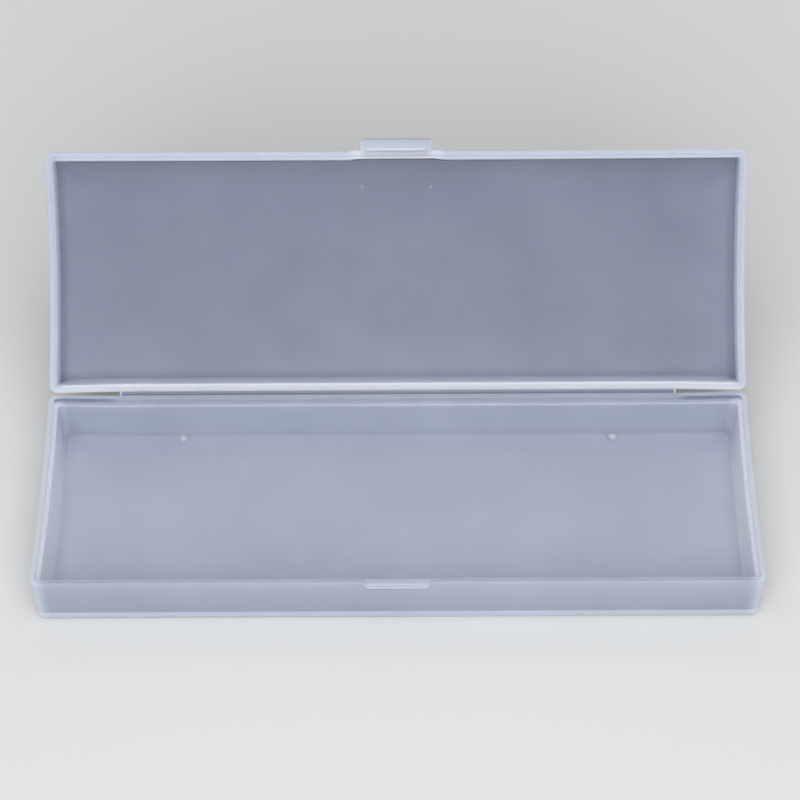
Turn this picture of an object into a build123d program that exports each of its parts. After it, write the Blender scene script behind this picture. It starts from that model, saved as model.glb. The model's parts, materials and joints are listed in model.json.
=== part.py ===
"""Flat hinged pencil case in frosted polypropylene, shown with its lid laid back.

The origin is at the middle of the underside. X runs along the case, -Y is the
latch side, +Y the hinge side and +Z is up. Sizes are in millimetres and degrees.
"""

import os
from math import cos, radians, sin, tan

from build123d import *

# Overall sizes
case_length = 205.0
case_depth = 70.7
base_height = 16.7
lid_height = 8.0
opening_angle = 131.7

# Plan outline that the base and the lid share
corner_radius = 2.6
base_bow = 0.5
lid_bow = 0.7
edge_slant = 0.35
outer_draft = 2.0

# Base: foot, floor, cavity and the two-level rim
foot_height = 0.9
foot_width = 2.4
foot_bevel = 0.5
floor_thickness = 2.2
cavity_draft = 3.0
cavity_corner_radius = 1.2
skirt_width = 1.4
skirt_height = 1.8
step_width = 1.25

# Lid: panel, cavity and the locating lip that drops inside the skirt
panel_thickness = 2.0
panel_bevel = 0.5
lid_cavity_draft = 4.5
lid_cavity_corner_radius = 0.6
lip_width = 0.88
lip_height = 1.6
lip_clearance = 0.12

# Thin moulded hinge along the middle of the rear edge
hinge_length = 163.5
hinge_gap = 0.27
web_thickness = 0.35
hinge_relief_depth = 0.46
hinge_relief_height = 2.5
hinge_lug_height = 1.2

# Catch ledge on the front of the base
catch_width = 20.8
catch_front_width = 16.6
catch_top_reach = 0.9
catch_reach = 1.3
catch_height = 1.2

# Latch that hangs from the lid and hooks under the catch
latch_width = 20.7
latch_clearance = 0.2
plate_length = 11.0
plate_thickness = 1.4
tab_thickness = 1.9
tab_edge_radius = 0.5
hook_height = 1.5
hook_wall_gap = 0.13
hook_lead_in = 0.7
bevel_width = 16.3
bevel_tip_width = 15.0

# Two small marks where the plastic entered the mould
nub_spacing = 127.0
nub_diameter = 2.4
nub_height = 0.35
nub_wall_gap = 1.7

# Heights and places worked out from the sizes above
floor_top = foot_height + floor_thickness
step_level = base_height - skirt_height
step_inset = skirt_width + step_width
floor_inset = step_inset + tan(radians(cavity_draft)) * (step_level - floor_top)
front_y = -case_depth / 2
rear_y = case_depth / 2
hinge_y = rear_y + hinge_gap
plate_y = front_y + plate_length
tab_inner = front_y - catch_reach - latch_clearance
swing_cos = cos(radians(opening_angle))
swing_sin = sin(radians(opening_angle))

# Plane of the lid's rim, turned about the hinge line with the lid. Its local X and Y
# are the base's own when the lid is shut, and its local Z is the height over the rim
lid_plane = Plane(
    origin=(0, hinge_y - hinge_y * swing_cos, base_height + hinge_y * swing_sin),
    x_dir=(1, 0, 0),
    z_dir=(0, swing_sin, swing_cos),
)
# Plane across the latch: its local X and Y are the lid plane's Y and Z
latch_section = Plane(origin=lid_plane.origin, x_dir=lid_plane.y_dir, z_dir=lid_plane.x_dir)


def case_outline(inset, radius, bow):
    """Plan outline drawn inwards by inset.

    The short sides are arcs that bow inwards. The hinge side leans in from each
    corner to the end of the hinge and runs straight between the two ends.
    """
    half_length = case_length / 2 - inset
    half_depth = case_depth / 2 - inset
    corner_x = half_length - radius
    corner_y = half_depth - radius
    diagonal = radius * cos(radians(45))
    hinge_end = (hinge_length / 2, half_depth - edge_slant)
    with BuildLine() as outline:
        Line((-corner_x, -half_depth), (corner_x, -half_depth))
        for side in (1, -1):
            ThreePointArc(
                (side * corner_x, -half_depth),
                (side * (corner_x + diagonal), -corner_y - diagonal),
                (side * half_length, -corner_y),
            )
            ThreePointArc(
                (side * half_length, -corner_y),
                (side * (half_length - bow), 0),
                (side * half_length, corner_y),
            )
            ThreePointArc(
                (side * half_length, corner_y),
                (side * (corner_x + diagonal), corner_y + diagonal),
                (side * corner_x, half_depth),
            )
            Line((side * corner_x, half_depth), (side * hinge_end[0], hinge_end[1]))
        Line(hinge_end, (-hinge_end[0], hinge_end[1]))
    make_face(outline.edges())


def wall_inset(drop):
    """How far a wall's outer face has leaned in at a distance from the rim."""
    return tan(radians(outer_draft)) * drop


# Base tray
with BuildPart() as base_tray:
    for drop, bevel in ((base_height, foot_bevel), (base_height - foot_bevel, 0), (0, 0)):
        with BuildSketch(Plane.XY.offset(base_height - drop)):
            case_outline(wall_inset(drop) + bevel, corner_radius - bevel, base_bow)
    loft(ruled=True)
    with BuildSketch():
        case_outline(wall_inset(base_height) + foot_width, corner_radius, base_bow)
    extrude(amount=foot_height, mode=Mode.SUBTRACT)
    with BuildSketch(Plane.XY.offset(floor_top)):
        case_outline(floor_inset, cavity_corner_radius, base_bow)
    with BuildSketch(Plane.XY.offset(step_level)):
        case_outline(step_inset, cavity_corner_radius, base_bow)
    loft(ruled=True, mode=Mode.SUBTRACT)
    with BuildSketch(Plane.XY.offset(step_level)):
        case_outline(skirt_width, corner_radius - skirt_width, base_bow)
    extrude(amount=skirt_height, mode=Mode.SUBTRACT)
    # Shallow relief behind the hinge, cut into the rear edge
    relief_y = rear_y - edge_slant - hinge_relief_depth
    with BuildSketch(Plane.XY.offset(base_height - hinge_relief_height)):
        with Locations((0, relief_y)):
            Rectangle(hinge_length, skirt_width, align=(Align.CENTER, Align.MIN))
    extrude(amount=hinge_relief_height, mode=Mode.SUBTRACT)
base_tray.part.label = "base_tray"

# Catch ledge: its top is flush with the rim and its face slopes out downwards
with BuildPart() as catch_ledge:
    for drop, reach in ((catch_height, catch_reach), (0, catch_top_reach)):
        with BuildSketch(Plane.XY.offset(base_height - drop)):
            wall_y = front_y + wall_inset(drop)
            with BuildLine():
                Polyline(
                    (-catch_width / 2, wall_y),
                    (-catch_front_width / 2, front_y - reach),
                    (catch_front_width / 2, front_y - reach),
                    (catch_width / 2, wall_y),
                    close=True,
                )
            make_face()
    loft(ruled=True)
catch_ledge.part.label = "catch_ledge"

# Gate nubs on the floor, just in front of the rear wall
with BuildPart() as gate_nubs:
    nub_y = rear_y - edge_slant - floor_inset - nub_wall_gap
    with BuildSketch(Plane.XY.offset(floor_top)):
        with Locations((-nub_spacing / 2, nub_y), (nub_spacing / 2, nub_y)):
            Circle(nub_diameter / 2)
    extrude(amount=nub_height)
gate_nubs.part.label = "gate_nubs"

# Base half of the hinge web, from the relief to the hinge line
with BuildPart() as base_hinge_leaf:
    with BuildSketch(Plane.XY.offset(base_height - web_thickness)):
        with Locations((0, relief_y)):
            Rectangle(hinge_length, hinge_y - relief_y, align=(Align.CENTER, Align.MIN))
    extrude(amount=web_thickness)
base_hinge_leaf.part.label = "base_hinge_leaf"

# Lid shell
with BuildPart() as lid_shell:
    for height, bevel in ((0, 0), (lid_height - panel_bevel, 0), (lid_height, panel_bevel)):
        with BuildSketch(lid_plane.offset(height)):
            case_outline(wall_inset(height) + bevel, corner_radius - bevel, lid_bow)
    loft(ruled=True)
    cavity_depth = lid_height - panel_thickness
    rim_inset = skirt_width + lip_clearance + lip_width
    panel_inset = rim_inset + tan(radians(lid_cavity_draft)) * cavity_depth
    with BuildSketch(lid_plane):
        case_outline(rim_inset, lid_cavity_corner_radius, lid_bow)
    with BuildSketch(lid_plane.offset(cavity_depth)):
        case_outline(panel_inset, lid_cavity_corner_radius, lid_bow)
    loft(ruled=True, mode=Mode.SUBTRACT)
    # Lug that carries the hinge web out past the leaning rear edge
    with BuildSketch(lid_plane):
        with Locations((0, rear_y)):
            Rectangle(hinge_length, rim_inset, align=(Align.CENTER, Align.MAX))
    extrude(amount=hinge_lug_height)
    # Pocket that the latch plate fills, open towards the free edge
    with BuildSketch(lid_plane.offset(lid_height - plate_thickness)):
        with Locations((0, plate_y)):
            Rectangle(latch_width, plate_y - tab_inner, align=(Align.CENTER, Align.MAX))
    extrude(amount=plate_thickness, mode=Mode.SUBTRACT)
lid_shell.part.label = "lid_shell"

# Locating lip: a raised ring that drops inside the base's skirt
with BuildPart() as lid_locating_lip:
    lip_inset = skirt_width + lip_clearance
    with BuildSketch(lid_plane.offset(-lip_height)):
        case_outline(lip_inset, corner_radius - lip_inset, lid_bow)
    extrude(amount=lip_height)
    with BuildSketch(lid_plane.offset(-lip_height)):
        case_outline(rim_inset, lid_cavity_corner_radius, lid_bow)
    extrude(amount=lip_height, mode=Mode.SUBTRACT)
lid_locating_lip.part.label = "lid_locating_lip"

# Lid half of the hinge web, from the hinge line to the lug
with BuildPart() as lid_hinge_leaf:
    with BuildSketch(lid_plane):
        with Locations((0, rear_y)):
            Rectangle(hinge_length, hinge_gap, align=(Align.CENTER, Align.MIN))
    extrude(amount=web_thickness)
lid_hinge_leaf.part.label = "lid_hinge_leaf"

# Latch plate: fills the pocket and bridges to the tab in front of the lid
with BuildPart() as latch_plate:
    with BuildSketch(lid_plane.offset(lid_height - plate_thickness)):
        with Locations((0, plate_y)):
            Rectangle(latch_width, plate_y - tab_inner, align=(Align.CENTER, Align.MAX))
    extrude(amount=plate_thickness)
latch_plate.part.label = "latch_plate"

# Latch tab: hangs past the rim, down to the underside of the hook
hook_top = -(catch_height + latch_clearance)
hook_bottom = hook_top - hook_height
with BuildPart() as latch_tab:
    with BuildSketch(latch_section):
        with Locations((tab_inner, hook_bottom)):
            Rectangle(tab_thickness, lid_height - hook_bottom, align=(Align.MAX, Align.MIN))
    extrude(amount=latch_width / 2, both=True)
    outer_edges = latch_tab.edges().group_by(Axis(lid_plane.origin, lid_plane.y_dir))[0]
    fillet(outer_edges, tab_edge_radius)
latch_tab.part.label = "latch_tab"

# Latch hook: a foot as wide as the tab. A bevel in its lower inner edge, about as wide as the
# catch's front, lets it ride over the catch
hook_tip = front_y - hook_wall_gap
with BuildPart() as latch_hook:
    with BuildSketch(lid_plane.offset(hook_bottom)):
        with Locations((0, hook_tip)):
            Rectangle(latch_width, hook_tip - tab_inner, align=(Align.CENTER, Align.MAX))
    extrude(amount=hook_height)
    with BuildSketch(lid_plane.offset(hook_bottom)):
        with Locations((0, hook_tip - hook_lead_in)):
            Rectangle(bevel_width, 2 * hook_lead_in, align=(Align.CENTER, Align.MIN))
    with BuildSketch(lid_plane.offset(hook_bottom + hook_lead_in)):
        with Locations((0, hook_tip)):
            Rectangle(bevel_tip_width, hook_lead_in, align=(Align.CENTER, Align.MIN))
    loft(ruled=True, mode=Mode.SUBTRACT)
latch_hook.part.label = "latch_hook"

os.makedirs("parts", exist_ok=True)
for piece in (
    base_tray,
    catch_ledge,
    gate_nubs,
    base_hinge_leaf,
    lid_shell,
    lid_locating_lip,
    lid_hinge_leaf,
    latch_plate,
    latch_tab,
    latch_hook,
):
    export_step(piece.part, f"parts/{piece.part.label}.step")
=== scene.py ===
"""Looks of a flat hinged pencil case moulded in frosted polypropylene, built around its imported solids.

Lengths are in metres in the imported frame: X runs along the case, -Y is the latch side, +Y the hinge
side and +Z is up. The lid is drawn shut, in the base's own X and Y, with v for the height over the
rim, and is then turned about the hinge line by the opening angle.
"""

import json
import math

import bmesh
import bpy
import numpy as np
from bpy.props import FloatProperty, FloatVectorProperty, PointerProperty
from mathutils import Matrix, Vector


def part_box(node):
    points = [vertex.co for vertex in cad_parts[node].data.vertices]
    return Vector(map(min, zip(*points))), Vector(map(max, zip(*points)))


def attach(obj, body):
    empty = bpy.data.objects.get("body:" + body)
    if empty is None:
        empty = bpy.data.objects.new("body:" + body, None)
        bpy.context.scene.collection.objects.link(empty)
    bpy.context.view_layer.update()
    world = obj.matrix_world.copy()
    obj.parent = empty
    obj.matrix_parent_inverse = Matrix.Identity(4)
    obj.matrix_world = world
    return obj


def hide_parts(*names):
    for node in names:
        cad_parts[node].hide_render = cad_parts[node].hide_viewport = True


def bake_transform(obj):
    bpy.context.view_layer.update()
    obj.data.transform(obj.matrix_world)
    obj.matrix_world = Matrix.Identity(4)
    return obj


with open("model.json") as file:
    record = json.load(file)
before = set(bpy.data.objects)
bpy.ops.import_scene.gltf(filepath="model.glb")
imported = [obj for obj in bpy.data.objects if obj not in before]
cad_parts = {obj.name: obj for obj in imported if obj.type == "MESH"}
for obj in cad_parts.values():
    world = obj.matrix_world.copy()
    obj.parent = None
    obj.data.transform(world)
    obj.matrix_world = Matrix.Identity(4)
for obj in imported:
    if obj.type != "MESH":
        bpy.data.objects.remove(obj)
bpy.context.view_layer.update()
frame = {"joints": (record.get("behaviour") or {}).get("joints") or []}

bl_info = {
    "name": "Frosted pencil case",
    "version": (1, 0, 0),
    "blender": (4, 5, 0),
    "location": "View3D > Sidebar > Pencil case",
    "description": "Builds a flat hinged pencil case in frosted polypropylene and its studio stage",
    "category": "Add Mesh",
}

MM = 0.001

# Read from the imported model: the hinge line, how far the lid is open, and the base's own box
HINGE = next(joint for joint in frame["joints"] if joint["name"] == "lid_hinge")
TRAY_LOW, TRAY_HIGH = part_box("base_tray")


def linear_colour(code):
    """Linear RGB of an sRGB hex code, by the sRGB curve: c / 12.92, or ((c + 0.055) / 1.055) ** 2.4."""
    srgb = np.array([int(code[i : i + 2], 16) for i in (1, 3, 5)]) / 255
    return tuple(np.where(srgb <= 0.04045, srgb / 12.92, ((srgb + 0.055) / 1.055) ** 2.4).tolist())


def length(name, millimetres, note):
    """A length property, given in millimetres and kept in metres."""
    return FloatProperty(
        name=name, description=note, default=millimetres * MM, precision=5, unit="LENGTH", subtype="DISTANCE"
    )


def angle(name, degrees, note):
    """An angle property, given in degrees."""
    return FloatProperty(
        name=name, description=note, default=math.radians(degrees), unit="ROTATION", subtype="ANGLE"
    )


def colour(name, code, note):
    """A colour property, given as an sRGB hex code and kept linear."""
    return FloatVectorProperty(
        name=name, description=note, default=linear_colour(code), size=3, min=0, max=1, subtype="COLOR"
    )


def share(name, value, note):
    """A plain number property."""
    return FloatProperty(name=name, description=note, default=value, min=0)


class CaseSizes(bpy.types.PropertyGroup):
    """Sizes of the moulding: plan outline, base, lid, hinge, catch and latch."""

    case_length: length("Length", (TRAY_HIGH.x - TRAY_LOW.x) / MM, "Rim to rim along the case")
    case_depth: length("Depth", (TRAY_HIGH.y - TRAY_LOW.y) / MM, "Rim to rim from latch to hinge")
    base_height: length("Base height", HINGE["pos_m"][2] / MM, "Table to rim")
    lid_height: length("Lid height", 8.0, "Rim to outer face of the lid")
    hinge_y: length("Hinge line", HINGE["pos_m"][1] / MM, "Place of the hinge line behind the middle")
    opening: angle("Opening", -HINGE["range_deg"][0], "How far the lid is laid back")

    corner_radius: length("Corner radius", 2.6, "Plan radius of the outer corners")
    base_bow: length("Base bow", 0.5, "How far the base's short sides bow inwards")
    lid_bow: length("Lid bow", 0.7, "How far the lid's short sides bow inwards")
    lid_front_bow: length("Lid front bow", 0.18, "How far the lid's free edge bows inwards")
    edge_slant: length("Edge slant", 0.35, "How far the rear edge leans in towards the hinge")
    outer_draft: angle("Outer draft", 2.0, "Lean of the outer walls")

    foot_height: length("Foot height", 0.9, "Height of the rim under the base")
    foot_width: length("Foot width", 2.4, "Width of the rim under the base")
    foot_bevel: length("Foot bevel", 0.5, "Rounding of the base's lower edge")
    floor_thickness: length("Floor thickness", 2.2, "Thickness of the base's floor")
    skirt_width: length("Skirt width", 1.4, "Width of the raised outer part of the rim")
    skirt_height: length("Skirt height", 1.8, "Height of the raised outer part of the rim")
    step_width: length("Step width", 1.25, "Width of the step inside the skirt")
    cavity_draft: angle("Cavity draft", 3.0, "Lean of the base's inner walls")
    cavity_corner_radius: length("Cavity corner", 1.2, "Plan radius of the base's inner corners")

    panel_thickness: length("Panel thickness", 2.0, "Thickness of the lid's panel")
    panel_bevel: length("Panel bevel", 0.5, "Rounding of the lid's outer edge")
    lid_cavity_draft: angle("Lid cavity draft", 4.5, "Lean of the lid's inner walls")
    lid_corner_radius: length("Lid inner corner", 0.6, "Plan radius of the lid's inner corners")
    lip_width: length("Lip width", 0.98, "Width of the ring that drops inside the skirt")
    lip_height: length("Lip height", 1.6, "Height of the ring that drops inside the skirt")
    lip_clearance: length("Lip clearance", 0.12, "Gap between lip and skirt")

    hinge_length: length("Hinge length", 163.5, "Length of the thin hinge web")
    web_thickness: length("Web thickness", 0.35, "Thickness of the hinge web")
    relief_depth: length("Relief depth", 0.46, "How far the rear edge is cut back behind the web")
    relief_height: length("Relief height", 2.5, "Height of that cut")
    lug_height: length("Lug height", 1.2, "Height of the lid's edge that carries the web")

    catch_width: length("Catch width", 20.8, "Width of the catch at the wall")
    catch_front_width: length("Catch front width", 16.6, "Width of the catch at its front")
    catch_top_reach: length("Catch top reach", 0.9, "How far the catch's top stands out")
    catch_reach: length("Catch reach", 1.3, "How far the catch's lower edge stands out")
    catch_height: length("Catch height", 1.2, "Height of the catch")

    latch_width: length("Latch width", 20.7, "Width of the latch plate and tab")
    latch_clearance: length("Latch clearance", 0.2, "Gap between catch and latch")
    plate_length: length("Plate length", 11.0, "Reach of the latch plate into the lid's panel")
    plate_thickness: length("Plate thickness", 1.4, "Thickness of the latch plate")
    tab_thickness: length("Tab thickness", 1.9, "Thickness of the finger tab")
    tab_radius: length("Tab radius", 0.5, "Rounding of the finger tab's edges")
    tab_corner: length("Tab corner", 0.9, "Further rounding of the finger tab's two outer corners")
    bevel_width: length("Bevel width", 16.3, "Width of the hook's bevel on its lower face")
    bevel_tip_width: length("Bevel tip width", 15.0, "Width of the hook's bevel at its tip")
    hook_height: length("Hook height", 1.5, "Height of the hook")
    hook_wall_gap: length("Hook gap", 0.03, "Gap between the hook and the front wall")
    hook_lead_in: length("Hook lead-in", 0.7, "Depth of the hook's bevel")

    witness_height: length("Witness height", 0.05, "Height of the fine line round the latch plate")
    witness_corner: length("Witness corner", 0.14, "Height of that line at its corners")
    witness_width: length("Witness width", 0.2, "Width of that line")
    lip_relief: length("Lip relief", 0.4, "How much thinner the lid's lip is behind the latch")

    nub_spacing: length("Gate spacing", 127.0, "Distance between the two gate marks")
    nub_diameter: length("Gate diameter", 3.3, "Diameter of a gate mark")
    nub_height: length("Gate height", 0.22, "Height of a gate mark")
    nub_wall_gap: length("Gate place", 1.7, "Gate mark's centre to the back wall")


class FinishSettings(bpy.types.PropertyGroup):
    """Colours and surface of the plastic."""

    thin_colour: colour("Thin plastic", "#747C91", "Colour where the wall is thin and light passes on")
    middle_colour: colour("Middling plastic", "#B8BECD", "Colour halfway, where scattered light is bluest")
    base_thick_colour: colour("Thick plastic, base", "#E7E9F1", "Colour of the base where it is thickest")
    lid_thick_colour: colour("Thick plastic, lid", "#E5E9F5", "Colour of the lid where it is thickest")
    roughness: share("Roughness", 0.34, "Roughness of the fine mould texture")
    refraction: share("IOR", 1.49, "Index of refraction of polypropylene")
    wall_scatter: length("Scatter in walls", 4.0, "How far light spreads inside the walls and panels")
    latch_scatter: length("Scatter in the latch", 0.8, "How far light spreads inside the latch")


class StageSettings(bpy.types.PropertyGroup):
    """Floor, lamps and camera."""

    floor_colour: colour("Floor", "#E6E6E4", "Colour of the floor")
    fade_start: length("Fade start", 180, "Distance from the case at which the floor starts to turn plain")
    fade_end: length("Fade end", 650, "Distance from the case from which the floor is plain")
    overhead_power: share("Overhead lamp", 3.0, "Watts of the large lamp above")
    back_power: share("Back lamp", 1.2, "Watts of the lamp behind")
    front_power: share("Front lamp", 4.8, "Watts of the large lamp in front")
    ambient: share("Ambient", 0.39, "Strength of the surroundings")
    elevation: angle("Elevation", 48.136, "Camera's height over the horizon")
    yaw: angle("Yaw", -0.577, "Turn of the case seen by the camera")
    roll: angle("Roll", 0.717, "Camera's tilt about its own axis")
    distance: length("Distance", 832.64, "Camera to the plane through the aim height")
    aim_height: length("Aim height", 10.0, "Height of the point that the camera's tilt is set about")
    offset_x: length("Sideways offset", -1.049, "Place of the aim point across the picture")
    offset_y: length("Upward offset", -28.789, "Place of the aim point up the picture")
    focal_length: share("Focal length", 130.25, "Millimetres on a 36 mm wide sensor")


# Values that a corner of a section carries: how far it lies in from the rim, its height, the plan radius
# of its ring, how far its ring moves back at the hinge and out at the latch, and how milky it is at the
# sides, along the front, along the rear and at the latch. These milkiness values also hold painted light
# and shade: the side rims are painted brighter than the front one, and crevices and edges are painted
# lighter against their shade or as highlights. A finished section has two more, the shares of painted
# shade taken off the milkiness at the rear beside the hinge and at the sides towards the rear corners.
INSET, HEIGHT, RADIUS, SHIFT, REACH, SIDE_MILK_AND_LIGHT, FRONT_MILK_AND_LIGHT, REAR_MILK_AND_LIGHT, LATCH_MILK_AND_LIGHT = range(9)
REAR_PAINTED_SHADE, SIDE_PAINTED_SHADE = 9, 10


def rounded_section(corners, reach, steps=5):
    """Section with its inner corners rounded.

    A corner P between A and B becomes the quadratic curve from P + r (A - P) / |A - P| to
    P + r (B - P) / |B - P| with P as its middle point. All the values that a corner carries follow it.
    """
    here, before, after = corners[1:-1], corners[:-2], corners[2:]
    to_before, to_after = before - here, after - here
    length_before = np.linalg.norm(to_before[:, :2], axis=1)
    length_after = np.linalg.norm(to_after[:, :2], axis=1)
    r = np.minimum(reach, 0.45 * np.minimum(length_before, length_after))
    start = (here + to_before * (r / length_before)[:, None])[:, None]
    end = (here + to_after * (r / length_after)[:, None])[:, None]
    t = np.linspace(0, 1, steps + 1)[None, :, None]
    curves = (1 - t) ** 2 * start + 2 * t * (1 - t) * here[:, None] + t**2 * end
    return np.vstack([corners[:1], curves.reshape(-1, corners.shape[1]), corners[-1:]])


def refined_section(section, spacing):
    """Section with points added at every multiple of spacing along its length, by linear interpolation."""
    along = np.concatenate([[0], np.cumsum(np.linalg.norm(np.diff(section[:, :2], axis=0), axis=1))])
    extra = np.arange(spacing, along[-1], spacing)
    clear = np.abs(extra[:, None] - along[None]).min(1) > spacing / 4
    stations = np.union1d(along, extra[clear])
    return np.column_stack([np.interp(stations, along, column) for column in section.T])


# Distance between the points of a section, and the reach in millimetres of a rounding too small to see
SECTION_SPACING = 1.2 * MM
SHARP = 0.02


def section_of(rows):
    """Section from rows that hold a corner's values and then the reach of its rounding in millimetres."""
    rows = np.array(rows)
    return refined_section(rounded_section(rows[:, :-1], rows[1:-1, -1] * MM), SECTION_SPACING)


# Steps of a ring: in half a corner, beside the hinge at each end, in the three stretches between the
# hinge's ends, and along a short side. The rear edge is cut back within a step of HINGE_END_STEP.
HALF_ARC_STEPS = 5
OUTER_STEPS = 10
LATCH_STEPS, LATCH_END_STEPS, PLAIN_STEPS = 6, 14, 42
SIDE_STEPS = 40
HINGE_END_STEP = 0.02 * MM


def middle_stations(size):
    """Values of x between the hinge's ends, in three even stretches and finest at the catch's ends."""
    margin = 0.4 * MM
    flat, root = size.catch_front_width / 2 - margin, size.catch_width / 2 + margin
    end = size.hinge_length / 2 - HINGE_END_STEP / 2
    half = np.concatenate([
        np.linspace(0, flat, LATCH_STEPS + 1),
        np.linspace(flat, root, LATCH_END_STEPS + 1)[1:],
        np.linspace(root, end, PLAIN_STEPS + 1)[1:],
    ])
    return np.concatenate([-half[:0:-1], half])[None]


def smooth_step(t):
    """Rises from 0 to 1 with t and is level at both ends: t^2 (3 - 2 t)."""
    return t * t * (3 - 2 * t)


def latch_share(x, flat, root):
    """1 where |x| is under flat, 0 where it is over root, eased by the mean of a line and a smooth step."""
    t = np.clip((root - np.abs(x)) / (root - flat), 0, 1)
    return (t + smooth_step(t)) / 2


def case_rings(size, section, bow, front_bow, latch_zone):
    """Rings of the plan outline, one for each point of the section, as an array of rings, points, (x, y).

    With L and D the half length and half depth less the inset, r the corner radius, b the bow and f the
    front's bow: front y = -D + f (1 - (x / (L - r))^2) less the section's reach within the latch zone,
    corners are quarter circles of radius r, short sides x = +-(L - b (1 - (y / (D - r))^2)), and the rear
    leans in linearly from D at the corners to D - slant at the hinge's ends, where it is also moved by
    the section's own shift. Each ring starts at the middle of the front left corner and runs
    anticlockwise.
    """
    inset, radius, shift, reach = (section[:, [column]] for column in (INSET, RADIUS, SHIFT, REACH))
    half_x, half_y = size.case_length / 2 - inset, size.case_depth / 2 - inset
    corner_x, corner_y = half_x - radius, half_y - radius
    hinge_end = size.hinge_length / 2
    outer = np.linspace(0, 1, OUTER_STEPS + 1)[None]
    outside = hinge_end + HINGE_END_STEP / 2
    x = np.hstack([
        -corner_x + (corner_x - outside) * outer,
        middle_stations(size) + 0 * inset,
        outside + (corner_x - outside) * outer,
    ])
    front_y = -half_y + front_bow * (1 - (x / corner_x) ** 2) - reach * latch_share(x, *latch_zone)
    front = np.stack([x, front_y], -1)
    lean = size.edge_slant * np.clip((corner_x - np.abs(x)) / (corner_x - hinge_end), 0, 1)
    rear = np.stack([x, half_y - lean + shift * (np.abs(x) < hinge_end)], -1)[:, ::-1]
    y = corner_y * np.linspace(-1, 1, SIDE_STEPS + 1)[None]
    right = np.stack([half_x - bow * (1 - (y / corner_y) ** 2), y], -1)
    left = right[:, ::-1] * [-1, 1]

    def arc(sign_x, sign_y, first):
        """An eighth of a circle about a corner's middle, from an angle in degrees on."""
        a = np.radians(first + np.linspace(0, 45, HALF_ARC_STEPS + 1))[None]
        return np.stack([sign_x * corner_x + radius * np.cos(a), sign_y * corner_y + radius * np.sin(a)], -1)

    pieces = (
        arc(-1, -1, 225), front, arc(1, -1, 270), arc(1, -1, 315), right, arc(1, 1, 0),
        arc(1, 1, 45), rear, arc(-1, 1, 90), arc(-1, 1, 135), left, arc(-1, -1, 180),
    )
    return np.hstack([piece[:, :-1] for piece in pieces])


MIDDLE_STEPS = 2 * (LATCH_STEPS + LATCH_END_STEPS + PLAIN_STEPS)
LONG_COUNT = 2 * HALF_ARC_STEPS + 2 * OUTER_STEPS + MIDDLE_STEPS + 2
SHORT_COUNT = 2 * HALF_ARC_STEPS + SIDE_STEPS
RING_COUNT = 2 * (LONG_COUNT + SHORT_COUNT)


def vertex_numbers(shape, first=0):
    """Table of the given shape that counts vertices from first on."""
    return first + np.arange(math.prod(shape)).reshape(shape)


def grid_faces(ids, closed):
    """Four-sided faces of a grid of vertex numbers, closed round its second direction if asked."""
    if closed:
        ids = np.hstack([ids, ids[:, :1]])
    return np.stack([ids[:-1, :-1], ids[:-1, 1:], ids[1:, 1:], ids[1:, :-1]], -1).reshape(-1, 4)


def capped_faces(ids):
    """Faces of a grid closed round its second direction, with its first and last row as end caps."""
    return grid_faces(ids, True).tolist() + [ids[0].tolist(), ids[-1].tolist()]


def panel_patch(ring, first_id):
    """Grid that fills a ring, as its new points and its table of vertex numbers.

    Between the ring's front F, rear B, left W and right E, the point at shares s and t is
    (1 - t) F(s) + t B(s) + (1 - s) W(t) + s E(t) less the same blend of the four corners.
    """
    ids = np.arange(RING_COUNT + 1) % RING_COUNT
    front, right = ids[: LONG_COUNT + 1], ids[LONG_COUNT : LONG_COUNT + SHORT_COUNT + 1]
    rear = ids[LONG_COUNT + SHORT_COUNT : 2 * LONG_COUNT + SHORT_COUNT + 1][::-1]
    left = ids[2 * LONG_COUNT + SHORT_COUNT :][::-1]
    f, b, w, e = ring[front][None], ring[rear][None], ring[left][:, None], ring[right][:, None]
    s = ((f[..., 0] - f[0, 0, 0]) / (f[0, -1, 0] - f[0, 0, 0]))[..., None]
    t = ((w[..., 1] - w[0, 0, 1]) / (w[-1, 0, 1] - w[0, 0, 1]))[..., None]
    corners = (
        (1 - s) * (1 - t) * f[:, :1] + s * (1 - t) * f[:, -1:]
        + (1 - s) * t * b[:, :1] + s * t * b[:, -1:]
    )
    points = (1 - t) * f + t * b + (1 - s) * w + s * e - corners
    inner = points[1:-1, 1:-1]
    table = np.empty((SHORT_COUNT + 1, LONG_COUNT + 1), int)
    table[1:-1, 1:-1] = vertex_numbers(inner.shape[:2], first_id)
    table[0], table[-1], table[:, 0], table[:, -1] = front, rear, left, right
    return inner.reshape(-1, 2), table


# Distances over which the milkiness changes: from a rear corner inwards, from a front corner inwards,
# from a ring over its panel, and from a rear corner along the short side, over which the painted shade fades
REAR_BLEND, FRONT_BLEND, PANEL_FADE, SIDE_FADE = 3 * MM, 4.5 * MM, 5 * MM, 7.5 * MM


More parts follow.
